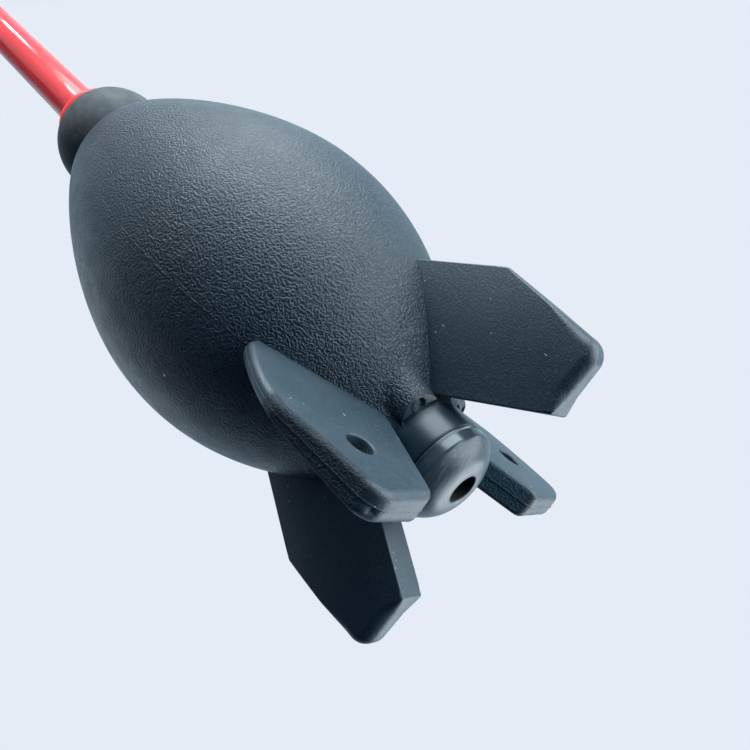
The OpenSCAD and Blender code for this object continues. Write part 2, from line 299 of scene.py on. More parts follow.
def carve_end_faces(path, off, reach):
    """Raises z, which sinks the downward end face: by the dimple's depth inside its
    radius, by the trench's depth next to the boss, and lowers it along the ring, which
    is a bell curve of the distance from the dimple's rim."""
    r = path[..., 0]
    from_dimple = np.hypot(r * np.cos(off)[:, None] - DIMPLE_AT, r * np.sin(off)[:, None])
    sunk = np.clip((DIMPLE_R + 0.1 - from_dimple) / 0.25, 0, 1)
    ring = np.exp(-((from_dimple - DIMPLE_R - RING_OUT) / RING_WIDTH) ** 2)
    gap = r - BOSS_R
    trench = np.clip(np.minimum(gap / 0.12, (TRENCH_WIDTH - gap) / 0.2), 0, 1)
    trench *= np.clip((reach - BOSS_R - 0.5) / 0.5, 0, 1)[:, None]
    carved = DIMPLE_DEPTH * sunk - RING_HEIGHT * ring + TRENCH_DEPTH * trench * (1 - sunk)
    path[:, BOSS_ROWS:FACE_END, 1] += carved[:, BOSS_ROWS:FACE_END]


print("a lug reaches", round(LUG_AT + LUG_R, 1), "mm out; the boss", BOSS_R, "mm")

# %% [markdown]
# ### The whole skin
#
# The two ends of the profile are now joined and turned. The parting ridge is only a
# third of a millimetre wide, so the angles stand close together there and far apart
# elsewhere. The points also get a mark that says where the tool was grained: on the
# egg, but not on the boss, the neck or the inside.

# %% The bulb's surface, with its parting line
RIDGE_HEIGHT, RIDGE_HALF_WIDTH = 0.07, 0.16
UNEVEN = 0.05


def packed_angles(n, near):
    """n even angles, and the angles in near (degrees) on both sides of 0 and of 180."""
    even = np.linspace(0, 360, n, endpoint=False)
    gap = max(near)
    even = even[np.abs((even + 90) % 180 - 90) > gap]
    close = np.r_[-np.array(near)[::-1], 0, near]
    return np.radians(np.sort(np.r_[even, close % 360, close + 180]))


bulb_angles = packed_angles(288, [0.16, 0.32, 0.6, 1.1])
tail_paths = lug_paths(bulb_angles)
round_paths = np.broadcast_to(round_profile, (len(bulb_angles),) + round_profile.shape)
bulb_paths = np.concatenate([tail_paths, round_paths], 1)
radius, height = bulb_paths[..., 0], bulb_paths[..., 1]
outside = (np.arange(bulb_paths.shape[1]) <= np.argmax(height[0]))[None, :]
off_line = radius * np.abs(np.sin(bulb_angles))[:, None]
ridge = RIDGE_HEIGHT * np.clip(1 - off_line / RIDGE_HALF_WIDTH, 0, 1)
egg_part = outside & (height > LUGS_TO) & (height < groove_z)
uneven = UNEVEN * np.sin(3 * bulb_angles[:, None] + height / 17) * np.sin(height / 13)
push = (ridge * outside + uneven * egg_part) * np.sin(np.pi * np.clip((height - 10) / 115, 0, 1))
swollen = radius + push
bulb_grid = np.stack([swollen * np.cos(bulb_angles)[:, None],
                      swollen * np.sin(bulb_angles)[:, None], height], -1)
past_rim = np.clip(np.arange(bulb_paths.shape[1]) - FACE_END + 0.5, 0, 1)[None, :]
off_boss = np.clip((radius - BOSS_R - 0.15) / 0.4, 0, 1)
below_neck = np.clip((groove_z - height) / 0.4, 0, 1)
grained = past_rim * np.maximum(off_boss, height > LUGS_TO) * below_neck * outside
bulb_skin = grid_mesh("bulb_skin", bulb_grid, marks=grained)
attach(bulb_skin, "blower")
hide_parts("bulb_body")

# %% [markdown]
# ## A fin as a grid
#
# A fin is a blade: thin at its leading edge, thicker towards the back, with a rounded
# rim. Picture a loop of string laid on it, running once around the rim, and then the
# same loop pulled tighter and tighter towards the middle. The loops are one direction
# of the grid, the pulling is the other, and the two faces are joined over the rim. On
# a fin with an eyelet the innermost loops go through the hole and meet, so the grid
# closes like a doughnut; on a plain fin they shrink to a pole on each face.

# %% The rim of a fin
ARC_STEP, RIM_STEP = 0.35, 0.55


def unit(v):
    """The same direction, 1 long."""
    return v / np.linalg.norm(v, axis=-1, keepdims=True)


def corner_arc(before, here, after, radius):
    """Start, end and centre of the arc that rounds a corner."""
    u, v = unit(before - here), unit(after - here)
    half = np.arccos(u @ v) / 2
    side = radius / np.tan(half)
    return here + u * side, here + v * side, here + unit(u + v) * radius / np.sin(half)


def bowed_edge(p, q, out, bow):
    """Points between p and q on a parabola that stands out by bow in its middle:
    (1 - t)^2 p + 2 t (1 - t) mid + t^2 q, with the inward normals."""
    t = np.linspace(0, 1, max(2, int(np.linalg.norm(q - p) / RIM_STEP)) + 1)[1:-1, None]
    mid = (p + q) / 2 + out * 2 * bow
    curve = (1 - t) ** 2 * p + 2 * t * (1 - t) * mid + t**2 * q
    slope = unit((1 - t) * (mid - p) + t * (q - mid))
    side = np.stack([-slope[:, 1], slope[:, 0]], -1)
    return curve, side * np.sign(-(side @ out))[:, None]


def fin_rim(corners):
    """Walks round the corners (x, z, corner radius, edge radius, bow) of a side outline.
    The edge radius and the bow belong to the edge that leaves the corner. Gives the
    points, their inward normals, and the edge radius at each point. That is averaged
    along the rim and kept small near sharp corners, so that the inset curve never
    turns back on itself."""
    pts = np.array([c[:2] for c in corners], float)
    n = len(pts)
    arcs = [corner_arc(pts[i - 1], pts[i], pts[(i + 1) % n], corners[i][2]) for i in range(n)]
    rim, normal, edge = [], [], []
    for i in range(n):
        start, end, centre = arcs[i]
        radius, bow = corners[i][2], corners[i][4]
        share = np.linspace(0, 1, int(radius / ARC_STEP) + 3)
        t = share[:, None]
        arc = unit((1 - t) * (start - centre) + t * (end - centre))
        rim.append(centre + arc * radius)
        normal.append(-arc)
        before, after = corners[i - 1][3], corners[i][3]
        edge.append(before + (after - before) * share)
        along = unit(arcs[(i + 1) % n][0] - end)
        out = np.array([along[1], -along[0]])
        out = out if (end - pts.mean(0)) @ out > 0 else -out
        curve, side = bowed_edge(end, arcs[(i + 1) % n][0], out, bow)
        rim.append(curve)
        normal.append(side)
        edge.append(np.full(len(curve), after))
    rim, normal, edge = (np.concatenate(k) for k in (rim, normal, edge))
    for _ in range(10):
        edge = (np.roll(edge, 1) + 2 * edge + np.roll(edge, -1)) / 4
    for i in range(n):
        reach = np.linalg.norm(arcs[i][0] - pts[i])
        gap = np.clip(np.linalg.norm(rim - pts[i], axis=1) - reach, 0, None)
        edge = np.minimum(edge, 0.8 * corners[i][2] + 0.5 * gap)
    return rim, normal, edge


square = fin_rim([(x, z, 3, 1, 0) for x, z in ((0, 0), (20, 0), (20, 20), (0, 20))])[0]
print("a 20 mm square with 3 mm corners has", len(square), "rim points")

# %% [markdown]
# ### The blade between its rims
#
# Across the fin the grid has these rows, from the hole or the middle outwards: the
# hole's bore and lip, the face, the rounded edge as a quarter arc, and the wall of the
# rim up to its middle. The other side is the mirror of them. The blade's half thickness
# is worked out at every point of the face, so the face is gently curved, not flat.

# %% The blade's thickness and its rows
LIP_R = 0.35
FACE_STEPS = 26
EDGE_ARC, LIP_ARC = np.radians([75, 60, 45, 30, 15, 0]), np.radians([0, 22, 45, 67, 90])
WALL_ROWS, BORE_ROWS = np.array([0.9, 0.5, 0.22, 0.15]), np.array([0.1, 0.5, 0.9])
CREST_HALF_WIDTH = 0.13


def blade_half(points, corner, root, chord, edge_t, t, bow):
    """Half the blade's thickness: it grows from edge_t / 2 at the leading edge to t / 2
    at the trailing edge as 1 - (1 - s)^2.4, s being the distance along the chord."""
    along = (corner - root) / np.linalg.norm(corner - root)
    inward = np.array([along[1], -along[0]])
    s = np.clip(((points - corner) @ inward + bow) / chord, 0, 1)
    return edge_t / 2 + (t - edge_t) / 2 * (1 - (1 - s) ** 2.4)


def hole_rows(start, toward, half_at):
    """The bore and the quarter arc of its lip, from the bore's middle outwards."""
    half = half_at(start)[:, None]
    lip = start[:, None] - toward[:, None] * (LIP_R * np.sin(LIP_ARC))[None, :, None]
    lip_y = half - LIP_R * (1 - np.cos(LIP_ARC))
    bore = np.repeat(lip[:, -1:], len(BORE_ROWS), axis=1)
    return [bore, lip[:, :0:-1]], [lip_y[:, -1:] * BORE_ROWS, lip_y[:, :0:-1]]


def fin_grid(rim, normal, edge, half_at, hole=None, centre=None, ridge=0.0, fade=0.0):
    """Grid over one fin in its own plane (x, z), with the thickness along y. The face
    runs from the hole's lip, or the middle, to the rim's inset curve; a quarter arc
    leads down to the rim's wall, whose middle stands out as a crest by ridge, and the
    other side is the mirror of this one. The mark is 1 on the edge and falls to 0 over
    the distance fade into the face."""
    crest = rim[:, None]
    rim = rim + normal * ridge
    inset = rim + normal * edge[:, None]
    t = 0.5 - 0.5 * np.cos(np.pi * np.linspace(0, 1, FACE_STEPS))
    xz, y, mark = [], [], []
    if hole is None:
        t = t[2:]
        start = np.broadcast_to(centre, rim.shape)
    else:
        toward = unit(inset - hole[:2])
        start = hole[:2] + toward * (hole[2] + LIP_R)
        xz, y = hole_rows(start, toward, half_at)
        mark = [np.zeros(rows.shape) for rows in y]
    face = start[:, None] + (inset - start)[:, None] * t[None, :, None]
    half = half_at(inset)
    round_y = np.minimum(edge, half * 0.96)
    arc = rim[:, None] + normal[:, None] * (edge[:, None] * (1 - np.cos(EDGE_ARC)))[..., None]
    arc_y = (half - round_y)[:, None] + round_y[:, None] * np.sin(EDGE_ARC)
    wall_y = (half - round_y)[:, None] * WALL_ROWS
    wall_y[:, -1] = np.minimum(wall_y[:, -1], CREST_HALF_WIDTH)
    wall = np.broadcast_to(rim[:, None], wall_y.shape + (2,))
    into_face = np.linalg.norm(face - inset[:, None], axis=-1)
    fade = np.broadcast_to(np.maximum(fade, 0.02), edge.shape)[:, None]
    wall_mark = np.broadcast_to([1, 1, 1, 0.35], wall_y.shape)
    xz += [face, arc, wall]
    y += [half_at(face), arc_y, wall_y]
    mark += [np.clip(1 - into_face / fade, 0, 1), np.ones(arc_y.shape), wall_mark]
    xz, y, mark = (np.concatenate(k, 1) for k in (xz, y, mark))
    xz = np.concatenate([xz, crest, xz[:, ::-1]], 1)
    y = np.concatenate([y, 0 * y[:, :1], -y[:, ::-1]], 1)
    mark = np.concatenate([mark, 0 * mark[:, :1], mark[:, ::-1]], 1)
    return np.stack([xz[..., 0], y, xz[..., 1]], -1), mark


def spin_about_z(grid, degrees):
    """Turns points about the bulb's axis by a multiple of 90 degrees."""
    a = np.radians(degrees)
    c, s = round(np.cos(a)), round(np.sin(a))
    return grid @ np.array([[c, -s, 0], [s, c, 0], [0, 0, 1]]).T


print("rows on one side of a plain fin:", FACE_STEPS - 2 + len(EDGE_ARC) + len(WALL_ROWS))

# %% [markdown]
# ## The eyelet fins
#
# Two opposite fins carry a lanyard hole. Their rims are well rounded, and the mould's
# parting line runs along the middle as a low crest. Near the foot the rubber was torn
# off where it had flowed in: a small raised lip beside a pit. The outer rim and the
# trailing wall were left with a coarse spark-eroded grain in the tool, while the rest
# is smooth, so the grid carries that as a mark the material can read. The rim's start
# and end lie inside the bulb's wall, so no gap can show.

# %% Shape the eyelet fins
EYELET = np.array([25.0, 10.9, 2.2])
EYELET_CORNER, EYELET_ROOT = np.array([33.7, 20.5]), np.array([25.2, 36.3])
EYELET_FOOT_IN, EYELET_CHORD = np.array([18.8, 0.0]), 22.85
EYELET_THIN, EYELET_THICK, EYELET_BOW = 2.2, 5.6, 0.8
TRAIL_LENGTH, PARTING_CREST, GRAIN_FADE = 23.5, 0.15, 0.6
GATE_LIP, GATE_PIT = np.array([31.0, -1.0, 2.0]), np.array([30.5, -0.7, 1.2])
GATE_OUT = np.array([0.8, 0, -0.6])
trail_start = EYELET_FOOT_IN - TRAIL_LENGTH * unit(EYELET_CORNER - EYELET_ROOT)
eyelet_corners = [
    (*(EYELET_ROOT + [-3.4, 1.0]), 1.2, 1.0, 0.0), (*EYELET_ROOT, 2.0, 1.0, EYELET_BOW),
    (*EYELET_CORNER, 3.0, 0.9, 0.0), (31.7, 0.0, 4.0, 1.7, 0.0),
    (*EYELET_FOOT_IN, 2.4, 0.7, 0.0), (*trail_start, 1.0, 0.3, 0.0)]
rim, rim_normal, rim_edge = fin_rim(eyelet_corners)


def eyelet_half(points):
    """Half thickness of an eyelet fin."""
    return blade_half(points, EYELET_CORNER, EYELET_ROOT, EYELET_CHORD,
                      EYELET_THIN, EYELET_THICK, EYELET_BOW)


foot_side = np.clip((rim[:, 1] - 2.2) / 2.0, 0, 1)
lead_side = np.clip((23.5 - rim[:, 1]) / 1.5, 0, 1)
outer_rim = foot_side * lead_side * (rim[:, 0] > 29)
back_rim = np.clip((rim[:, 1] - 1.2) / 0.5, 0, 1) * (rim[:, 0] < 19) * (rim_normal[:, 0] > 0.5)
eyelet_grid, eyelet_mark = fin_grid(rim, rim_normal, rim_edge, eyelet_half, hole=EYELET,
                                    ridge=PARTING_CREST, fade=GRAIN_FADE * outer_rim)
on_wall = np.abs(eyelet_grid[..., 1]) < eyelet_half(rim)[:, None] - 0.9 * rim_edge[:, None]
eyelet_mark = eyelet_mark * np.maximum(outer_rim[:, None], back_rim[:, None] * on_wall)
from_lip, from_pit = (np.linalg.norm(eyelet_grid - p, axis=-1) for p in (GATE_LIP, GATE_PIT))
torn = 0.6 * np.exp(-(from_lip / 0.55) ** 2) - 0.7 * np.exp(-(from_pit / 0.5) ** 2)
eyelet_grid = eyelet_grid + torn[..., None] * GATE_OUT
for name, node, side in (("fin_right_skin", "eyelet_fin_right", 0),
                         ("fin_left_skin", "eyelet_fin_left", 180)):
    skin = grid_mesh(name, spin_about_z(eyelet_grid, side), marks=eyelet_mark)
    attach(skin, "blower")
    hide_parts(node)

# %% [markdown]
# ## The plain fins
#
# The other pair has no hole, no grain and no crest. These fins are cleaner cut: a
# knife-like leading edge, a flat trailing wall with crisp edges, and an outer edge that
# is crisp at the top and grows rounder towards the foot.

# %% Shape the plain fins
PLAIN_CORNER, PLAIN_ROOT = np.array([31.3, 21.5]), np.array([22.6, 36.6])
PLAIN_FOOT_IN = np.array([18.7, 0.0])
PLAIN_THIN, PLAIN_THICK = 1.0, 6.4
plain_along = unit(PLAIN_CORNER - PLAIN_ROOT)
PLAIN_CHORD = float((PLAIN_FOOT_IN - PLAIN_CORNER) @ np.array([plain_along[1], -plain_along[0]]))
plain_corners = [
    (*(PLAIN_ROOT - 1.5 * plain_along), 0.4, 0.3, 0.0), (*PLAIN_CORNER, 1.5, 1.7, 0.0),
    (30.8, 0.0, 3.2, 2.2, 0.0), (*PLAIN_FOOT_IN, 0.6, 0.25, 0.0),
    (*(PLAIN_FOOT_IN - TRAIL_LENGTH * plain_along), 0.4, 0.2, 0.0)]
rim, rim_normal, rim_edge = fin_rim(plain_corners)
growing = 0.4 + 1.8 * np.clip((11.5 - rim[:, 1]) / 9, 0, 1)
rim_edge = np.where(rim_normal[:, 0] < -0.3, np.minimum(rim_edge, growing), rim_edge)


def plain_half(points):
    """Half thickness of a plain fin."""
    return blade_half(points, PLAIN_CORNER, PLAIN_ROOT, PLAIN_CHORD,
                      PLAIN_THIN, PLAIN_THICK, 0.0)


plain_middle = np.array([23.0, 15.0])
plain_grid, _ = fin_grid(rim, rim_normal, rim_edge, plain_half, centre=plain_middle)
middle_half = float(plain_half(plain_middle[None])[0])
poles = np.array([[plain_middle[0], middle_half, plain_middle[1]],
                  [plain_middle[0], -middle_half, plain_middle[1]]])
for name, node, side in (("fin_back_skin", "plain_fin_back", 90),
                         ("fin_front_skin", "plain_fin_front", 270)):
    ends = spin_about_z(poles, side)
    skin = grid_mesh(name, spin_about_z(plain_grid, side), pole_start=ends[0], pole_end=ends[1])
    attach(skin, "blower")
    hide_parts(node)

# %% [markdown]
# ## The nozzle
#
# A long tapered tube in hard red plastic. A thin flange with a soft fillet sits on the
# neck ball, and below it a root with saw-tooth ribs reaches into the neck. The real
# one is round about one axis, so it is one closed profile, bore included. Only the last
# part before the tip is straight, so that a soft tip can be pushed on.

# %% Turn the nozzle
TIP_Z, TIP_R, TIP_LENGTH, NOZZLE_BORE_R = 190.0, 4.0, 16, 1.5
FLANGE_R, FLANGE_T, FOOT_R = 7.5, 1.7, 4.45
ROOT_Z, ROOT_R = 107.0, 4.2
RIBS, RIBS_FROM, RIB_PITCH, RIB_DEPTH = 4, ROOT_Z + 2.1, 3.2, 0.45
nozzle_corners = [(NOZZLE_BORE_R, ROOT_Z, 0.1), (ROOT_R - 0.9, ROOT_Z, 0.1),
                  (ROOT_R, ROOT_Z + 1.3, 0.1)]
for k in range(RIBS):
    foot = RIBS_FROM + RIB_PITCH * k
    nozzle_corners += [(ROOT_R, foot, 0.05), (ROOT_R - RIB_DEPTH, foot + RIB_PITCH, 0.05)]
flange_top = NECK_TOP + FLANGE_T
ribs_to = RIBS_FROM + RIB_PITCH * RIBS
nozzle_corners += [
    (ROOT_R, ribs_to, 0.05), (ROOT_R, NECK_TOP, 0.0), (FLANGE_R, NECK_TOP, 0.8),
    (FLANGE_R, flange_top, 0.8), (FOOT_R, flange_top, 1.6), (TIP_R, TIP_Z - TIP_LENGTH, 8.0),
    (TIP_R, TIP_Z, 1.0), (NOZZLE_BORE_R, TIP_Z, 0.25)]
nozzle_profile = spread(soft_path(nozzle_corners, n=9), 1.2)
nozzle_skin = grid_mesh("nozzle_skin", turn(nozzle_profile, all_round(128)))
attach(nozzle_skin, "nozzle")
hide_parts("nozzle_tube")

# %% [markdown]
# ## The intake cap
#
# The glossy cap closes the tail boss. A crease leads from its dome, which has the round
# air inlet in its middle, to a plain band, and a small bead stands out where the band
# meets the boss. Its spigot reaches up inside the boss and holds the valve. A hole
# could be cut with a boolean, but the whole cap is round, so one turned profile makes
# it with clean edges. The mark tells the material which points are inside, where it
# paints them near-black as painted shade.

# %% Turn the cap
CAP_FACE, SEAT_Z, SPIGOT_R = 4.6, 13.6, 5.1
INLET_R, CREASE = 2.65, (8.55, 7.6)
BAND_R, BAND_FROM, BAND_TO = 8.6, 8.0, 9.5
BEAD_R, BEAD_FROM, BEAD_TO, BEAD_FOOT_R = 8.85, 9.75, 9.95, 8.4
dome = bezier((INLET_R + 0.4, CAP_FACE), (CREASE[0] - 2.6, CAP_FACE),
              (CREASE[0] - 0.8, CREASE[1] - 1.1), CREASE, 22)
cap_profile = spread(soft_path(
    [(INLET_R, CAP_FACE, 0.3)] + as_corners(dome[1:-1]) + [(*CREASE, 0.0)]
    + [(BAND_R, BAND_FROM, 0.2), (BAND_R, BAND_TO, 0.1), (BEAD_R, BEAD_FROM, 0.08)]
    + [(BEAD_R, BEAD_TO, 0.06), (BEAD_FOOT_R, BOSS_END, 0.05), (TAIL_BORE_R, BOSS_END, 0)]
    + [(TAIL_BORE_R, SEAT_Z, 0.2), (SPIGOT_R, SEAT_Z, 0.2), (SPIGOT_R, CAP_FACE + 2, 0)]
    + [(INLET_R, CAP_FACE + 2, 0.2)]), 0.6)
r, z = cap_profile[:, 0], cap_profile[:, 1]
# inside: the inlet and bore, where the cap's colour is painted near-black as painted shade
inside = (r < INLET_R + 0.02) | ((z > CAP_FACE + 0.4) & (r < SPIGOT_R + 0.1))
cap_grid = turn(cap_profile, all_round(160))
cap_skin = grid_mesh("cap_skin", cap_grid, marks=np.broadcast_to(inside, cap_grid.shape[:2]))
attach(cap_skin, "blower")
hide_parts("intake_cap")

# %% [markdown]
# ## Materials
#
# Every finish here is moulded, so each is one shader with small-scale detail: a bump
# that follows the tool's texture, a little unevenness in the gloss, and some dust,
# which black rubber always picks up. The patterns read Object coordinates, which are
# the metres of the frame, so a grain of half a millimetre needs a scale of 2000. Noise
# seldom leaves the range from 0.3 to 0.7, so that is what most ramps start from.

# %% A small helper for shader nodes
NOISE_RANGE = (0.3, 0.7)


def feed(tree, node, inputs):
    """Links each input to the socket it comes from, or sets it to its value."""
    for key, value in inputs.items():
        if isinstance(value, bpy.types.NodeSocket):
            tree.links.new(value, node.inputs[key])
        else:
            node.inputs[key].default_value = value


class Finish:
    """A material with one Principled shader, and short calls that add and link nodes."""

    def __init__(self, name, **shader_values):
        self.material = bpy.data.materials.new(name)
        self.material.use_nodes = True
        self.tree = self.material.node_tree
        self.shader = self.tree.nodes["Principled BSDF"]
        self.place = self.node("ShaderNodeTexCoord").outputs["Object"]
        for key, value in shader_values.items():
            self.shader.inputs[key.replace("_", " ")].default_value = value
        print("finish:", name)

    def node(self, kind, inputs=None, **settings):
        """Adds a node; inputs are socket values or the sockets they come from."""
        made = self.tree.nodes.new(kind)
        for key, value in settings.items():
            setattr(made, key, value)
        feed(self.tree, made, inputs or {})
        return made

    def noise(self, scale, detail=2.0, rough=0.5, distortion=0.0, at=None):
        """Soft noise from 0 to 1."""
        inputs = {"Vector": at or self.place, "Scale": scale, "Detail": detail,
                  "Roughness": rough, "Distortion": distortion}
        return self.node("ShaderNodeTexNoise", inputs).outputs["Fac"]

    def cells(self, scale, feature="F1", at=None, output="Distance"):
        """Distance to the nearest cell point or border, or the cell's colour."""
        inputs = {"Vector": at or self.place, "Scale": scale}
        return self.node("ShaderNodeTexVoronoi", inputs, feature=feature).outputs[output]

    def math(self, operation, a, b=0.0):
        """One arithmetic step."""
        return self.node("ShaderNodeMath", {0: a, 1: b}, operation=operation).outputs[0]

    def times(self, a, b):
        """The product."""
        return self.math("MULTIPLY", a, b)

    def between(self, value, low, high, to_low=0.0, to_high=1.0):
        """Maps low..high to to_low..to_high, clamped and smooth."""
        inputs = {"Value": value, "From Min": low, "From Max": high,
                  "To Min": to_low, "To Max": to_high}
        return self.node("ShaderNodeMapRange", inputs, interpolation_type="SMOOTHSTEP").outputs[0]

    def blend(self, share, first, second):
        """Colour from first to second as share goes from 0 to 1."""
        made = self.node("ShaderNodeMix", data_type="RGBA")
        feed(self.tree, made, {0: share, 6: first, 7: second})
        return made.outputs[2]

    def coordinate(self, axis):
        """The place along one axis, in metres."""
        return self.node("ShaderNodeSeparateXYZ", {0: self.place}).outputs[axis]

    def stretched(self, scale, turned=(0, 0, 0)):
        """The place, turned by degrees and scaled, for a pattern drawn out one way."""
        inputs = {"Vector": self.place, "Rotation": np.radians(turned), "Scale": scale}
        return self.node("ShaderNodeMapping", inputs).outputs[0]

    def grain_and_painted_shade_mark(self):
        """The mark from 0 to 1 that the grids carry."""
        return self.node("ShaderNodeAttribute", attribute_name="grain").outputs["Fac"]

    def bump(self, height, distance_mm, normal=None):
        """Adds relief, distance_mm deep where height goes from 0 to 1."""
        inputs = {"Height": height, "Distance": distance_mm * MM}
        if normal is not None:
            inputs["Normal"] = normal
        return self.node("ShaderNodeBump", inputs).outputs["Normal"]

    def connect(self, **sockets):
        """Links finished values to the shader."""
        for key, value in sockets.items():
            self.tree.links.new(value, self.shader.inputs[key.replace("_", " ")])

    def wear(self, piece):
        """Puts this finish on a piece or a CAD node."""
        piece.data.materials.clear()
        piece.data.materials.append(self.material)


def dust_specks(finish, scale, size, share, at=None):
    """1 inside small specks: near the middle of a few of the cells."""
    near = finish.between(finish.cells(scale, at=at), size, size * 0.5)
    colour = finish.cells(scale, at=at, output="Color")
    parts = finish.node("ShaderNodeSeparateColor", {"Color": colour})
    chosen = finish.math("GREATER_THAN", parts.outputs[0], 1 - share)
    return finish.times(near, chosen)


print("one cell of a pattern of scale 2000 is", 1 / 2000 / MM, "mm wide")

# %% [markdown]
# ### Grained bulb rubber
#
# The tool was etched with a fine leather-like grain of short wriggling ridges, a bit
# under half a millimetre apart. A noise bent a little by itself, with a soft step in
# the middle of its range, gives the ridges, and the borders of a cell pattern cut thin
# valleys between them. As real geometry it would need millions of points, and it never
# shows in the outline, so it is a bump. The grain is multiplied by the mark, because
# the boss and the neck are plain. The colour of the ridges is painted a trace paler as
# a painted highlight, so the valleys between them stay darker as painted shade. The neck
# ball is handled most, so it is dull and scuffed grey; the boss is a little glossier.

# %% Bulb rubber
INK, INK_PALE = (0.003, 0.011, 0.021, 1), (0.007, 0.018, 0.030, 1)
PAINTED_RIDGE_HIGHLIGHT, DUST = (0.030, 0.055, 0.072, 1), (0.45, 0.47, 0.48, 1)
NECK_DARK, NECK_SCUFFED = (0.026, 0.034, 0.040, 1), (0.050, 0.061, 0.068, 1)
COOL_GLINT = (0.8, 0.94, 1.0, 1)
bulb_rubber = Finish("bulb_rubber_grained", Roughness=0.5, Specular_IOR_Level=0.5,
                     Specular_Tint=COOL_GLINT)
worms = bulb_rubber.noise(2550, detail=0.6, rough=0.4, distortion=0.4)
valleys = bulb_rubber.between(bulb_rubber.cells(1450, feature="DISTANCE_TO_EDGE"), 0.0, 0.12)
relief = bulb_rubber.math("ADD", bulb_rubber.between(worms, 0.36, 0.62),
                          bulb_rubber.times(valleys, 0.35))
relief = bulb_rubber.times(relief, bulb_rubber.grain_and_painted_shade_mark())
normal = bulb_rubber.bump(bulb_rubber.noise(6000, detail=2), 0.012)
normal = bulb_rubber.bump(relief, 0.09, normal)

cloud = bulb_rubber.between(bulb_rubber.noise(60, detail=4), *NOISE_RANGE)
base = bulb_rubber.blend(cloud, INK, INK_PALE)
# painted highlight: ridge tops are painted paler and the cell borders stay darker as painted
# shade
base = bulb_rubber.blend(bulb_rubber.times(relief, 0.22), base, PAINTED_RIDGE_HIGHLIGHT)
height = bulb_rubber.coordinate("Z")
on_neck = bulb_rubber.between(height, 0.1045, 0.1055)
on_boss = bulb_rubber.between(height, 0.0150, 0.0142)
scuffed = bulb_rubber.between(bulb_rubber.noise(330, detail=4, rough=0.6), 0.4, 0.7)
base = bulb_rubber.blend(on_neck, base, bulb_rubber.blend(scuffed, NECK_DARK, NECK_SCUFFED))
base = bulb_rubber.blend(dust_specks(bulb_rubber, 170, 0.06, 0.10), base, DUST)
gloss = bulb_rubber.between(bulb_rubber.noise(240, detail=3), *NOISE_RANGE, 0.37, 0.46)
gloss = bulb_rubber.math("ADD", gloss, bulb_rubber.times(on_neck, 0.3))
gloss = bulb_rubber.math("SUBTRACT", gloss, bulb_rubber.times(on_boss, 0.09))
bulb_rubber.connect(Base_Color=base, Roughness=gloss, Normal=normal)
bulb_rubber.wear(bulb_skin)

# %% [markdown]
# ### Fin rubber
#
# The same rubber from a smoother part of the tool. The blade faces are satin with a
# very fine speckle; the marked rims have a coarse pebbled grain, which is rougher. Its
# colour is painted lighter on the trailing wall, near the axis, as painted light, and
# darker far out on the outer rim as painted shade. The mark blends the two, so one
# material serves the whole fin and no seam shows between them. A few specks and
# hairline scuffs lie on the faces: scuffs are specks drawn out along a slanting line.

# %% Fin rubber
FACE_DARK, FACE_PALE = (0.012, 0.027, 0.039, 1), (0.018, 0.035, 0.049, 1)
SPECKLE, SCUFF = (0.040, 0.062, 0.078, 1), (0.26, 0.30, 0.33, 1)
GRAIN_PAINTED_LIT, GRAIN_PAINTED_SHADE = (0.012, 0.050, 0.080, 1), (0.002, 0.010, 0.019, 1)
fin_rubber = Finish("fin_rubber_satin", Roughness=0.45, Specular_IOR_Level=0.5,
                    Specular_Tint=COOL_GLINT)
mark = fin_rubber.grain_and_painted_shade_mark()
grit = fin_rubber.between(fin_rubber.noise(2600, detail=1.0, distortion=0.4), 0.36, 0.62)
fine = fin_rubber.noise(2700, detail=3, rough=0.65)
normal = fin_rubber.bump(fine, 0.07)
normal = fin_rubber.bump(fin_rubber.times(grit, mark), 0.10, normal)

cloud = fin_rubber.between(fin_rubber.noise(90, detail=4), *NOISE_RANGE)
base = fin_rubber.blend(cloud, FACE_DARK, FACE_PALE)
base = fin_rubber.blend(fin_rubber.between(fine, 0.50, 0.75), base, SPECKLE)
# painted light and shade: the grain near the axis is painted lighter, the grain far out darker
off_axis = fin_rubber.math("ABSOLUTE", fin_rubber.coordinate("X"))
painted_shade_far_out = fin_rubber.between(off_axis, 0.021, 0.027)
base = fin_rubber.blend(mark, base, fin_rubber.blend(painted_shade_far_out, GRAIN_PAINTED_LIT, GRAIN_PAINTED_SHADE))
specks = dust_specks(fin_rubber, 700, 0.12, 0.08)
for degrees in (35, -50):
    slanting = fin_rubber.stretched((1, 1, 0.25), (degrees, degrees, 0))
    scuffs = dust_specks(fin_rubber, 500, 0.055, 0.6, slanting)
    specks = fin_rubber.math("MAXIMUM", specks, scuffs)
base = fin_rubber.blend(specks, base, SCUFF)
gloss = fin_rubber.between(fin_rubber.noise(300, detail=3), *NOISE_RANGE, 0.40, 0.48)
gloss = fin_rubber.math("ADD", gloss, fin_rubber.times(mark, 0.35))
fin_rubber.connect(Base_Color=base, Roughness=gloss, Normal=normal)
for name in ("fin_right_skin", "fin_left_skin", "fin_back_skin", "fin_front_skin"):
    fin_rubber.wear(bpy.data.objects[name])

# %% [markdown]
# ### The cap
#
# The cap is a harder, glossier black. Its dome is what rubs against the bench and the
# hand, so it is duller than the band and streaked with pale scratches, which are noise
# drawn out along one direction. Inside the inlet the colour is painted near-black as
# painted shade, because hardly any light comes back there.

